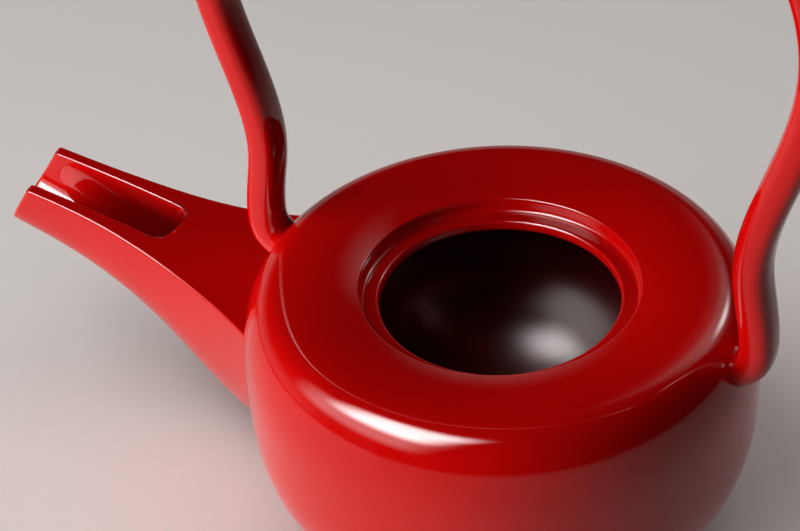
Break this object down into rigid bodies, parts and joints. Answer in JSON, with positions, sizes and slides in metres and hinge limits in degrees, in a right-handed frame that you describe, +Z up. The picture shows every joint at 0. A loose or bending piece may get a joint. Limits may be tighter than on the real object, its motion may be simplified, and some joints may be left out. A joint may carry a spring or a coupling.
{
  "type": "choshi sake ewer",
  "caption": "Low round lacquered wooden ewer with a sunk lid seat, a long carved spout that opens into a channel at its end, and a tall bent handle fixed over the mouth.",
  "frame": {"origin": "centre of the foot's flat underside, on the axis of the turned body", "axes": "+Z up along the body's axis, -X towards the pouring end of the spout, the handle stands in the XZ plane"},
  "size_m": [0.2311, 0.1306, 0.2043],
  "materials": {
    "bowl_lacquer": "turned wood under a smooth high-gloss red lacquer, black inside",
    "shoulder_lacquer": "turned wood under a smooth high-gloss red lacquer, black inside",
    "spout_lacquer": "carved wood under a smooth high-gloss red lacquer",
    "roof_lacquer": "carved wood under a smooth high-gloss red lacquer",
    "handle_lacquer": "bent wood under a smooth high-gloss red lacquer",
    "peg_wood": "bare hardwood"
  },
  "bodies": {
    "root": {"bowl": "bowl_lacquer", "shoulder": "shoulder_lacquer", "spout_trough": "spout_lacquer", "spout_roof": "roof_lacquer", "handle_bow": "handle_lacquer", "handle_pegs": "peg_wood"}
  },
  "joints": []
}
